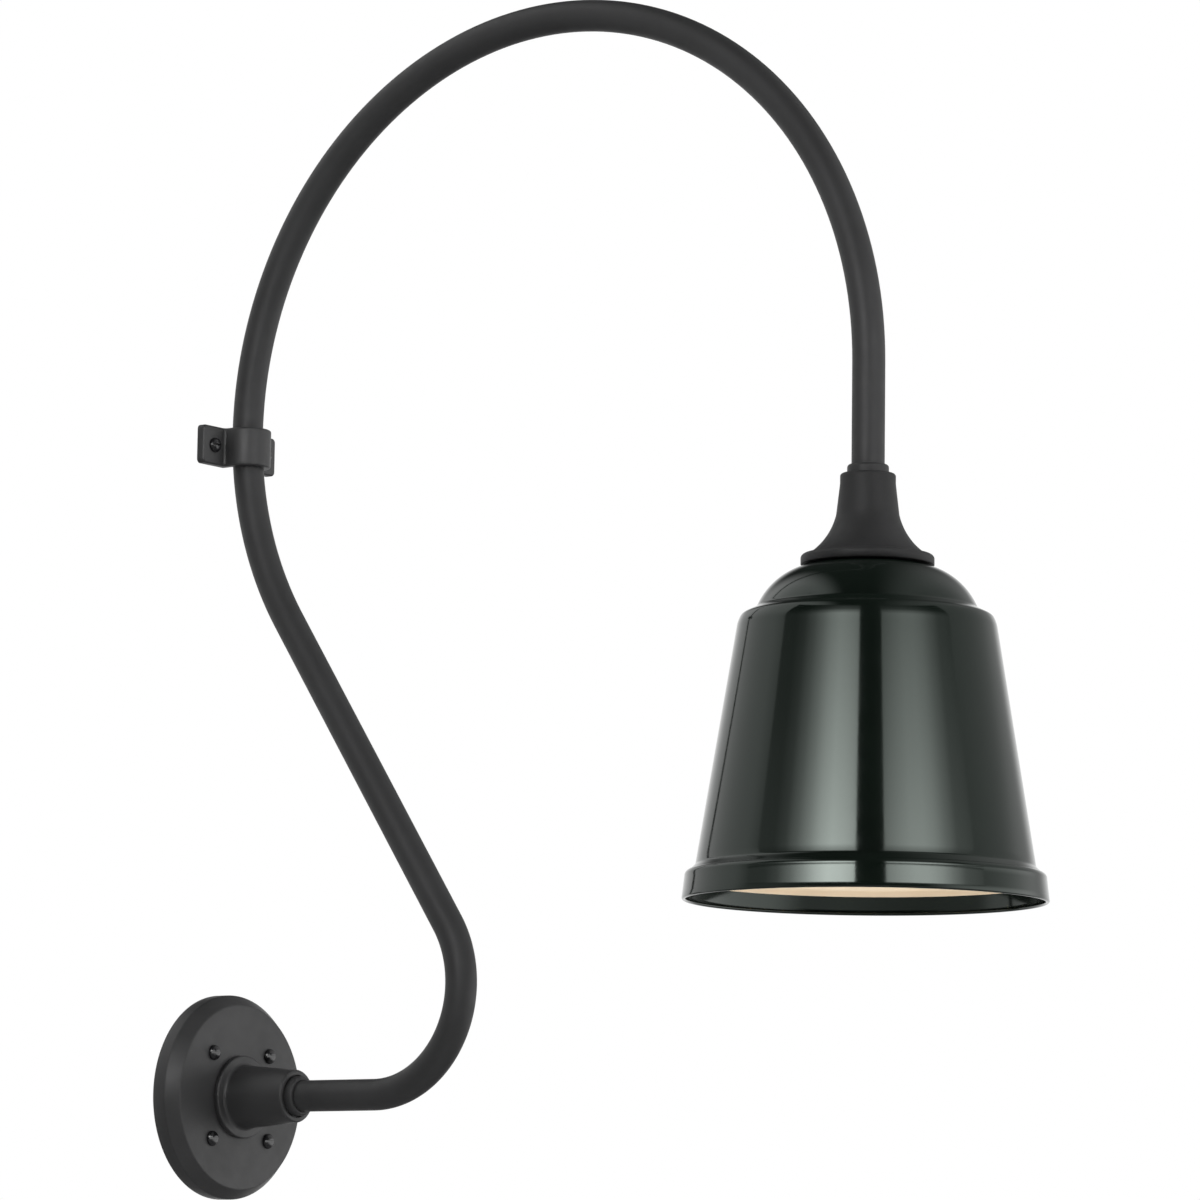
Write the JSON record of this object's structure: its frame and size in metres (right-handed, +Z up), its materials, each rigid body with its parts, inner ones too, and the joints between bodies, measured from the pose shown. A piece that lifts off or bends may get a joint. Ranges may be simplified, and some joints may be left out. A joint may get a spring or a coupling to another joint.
{
  "type": "gooseneck barn light",
  "caption": "Wall light with a round wall plate, a long bent arm clamped to the wall and a bell-shaped spun shade.",
  "frame": {"origin": "centre of the wall plate's four screws, on the wall", "axes": "+X straight out of the wall, +Z up, +Y along the wall; the arm lies in the plane Y = 0"},
  "size_m": [0.6752, 0.2324, 0.8043],
  "materials": {
    "powder_coat": "satin black powder coat",
    "black_screw": "black oxide, slightly glossy",
    "shade_enamel": "glossy dark green enamel outside, cream inside",
    "gasket": "closed-cell black foam",
    "earth_green": "green plated steel",
    "zinc": "zinc plated",
    "cap_metal": "pressed aluminium",
    "porcelain": "white glaze",
    "brass": "bright brass",
    "bulb_glass": "glass with a soft white coat inside",
    "base_metal": "bright rolled cap",
    "black_glass": "black vitrite",
    "tin": "dull solder"
  },
  "bodies": {
    "fixture": {"plate_gasket": "gasket", "wall_plate": "powder_coat", "plate_screws": "black_screw", "ground_screw": "earth_green", "arm_hub": "powder_coat", "hub_collar": "powder_coat", "hub_locknut": "zinc", "gooseneck_arm": "powder_coat", "clamp_strap": "powder_coat", "clamp_screws": "black_screw", "neck_collar": "powder_coat", "shade_neck": "powder_coat", "shade_seal": "gasket", "shade": "shade_enamel", "shade_washer": "zinc", "shade_locknut": "zinc", "socket_nipple": "zinc", "socket_cap": "cap_metal", "lamp_socket": "porcelain", "screw_shell": "brass", "socket_contact": "brass"},
    "bulb": {"bulb_glass": "bulb_glass", "bulb_base": "base_metal", "bulb_insulator": "black_glass", "bulb_contact": "tin"}
  },
  "joints": [
    {"name": "bulb_draw", "type": "slide", "parent": "fixture", "child": "bulb", "axis": [0, 0, -1], "range_m": [0, 0.17]}
  ]
}
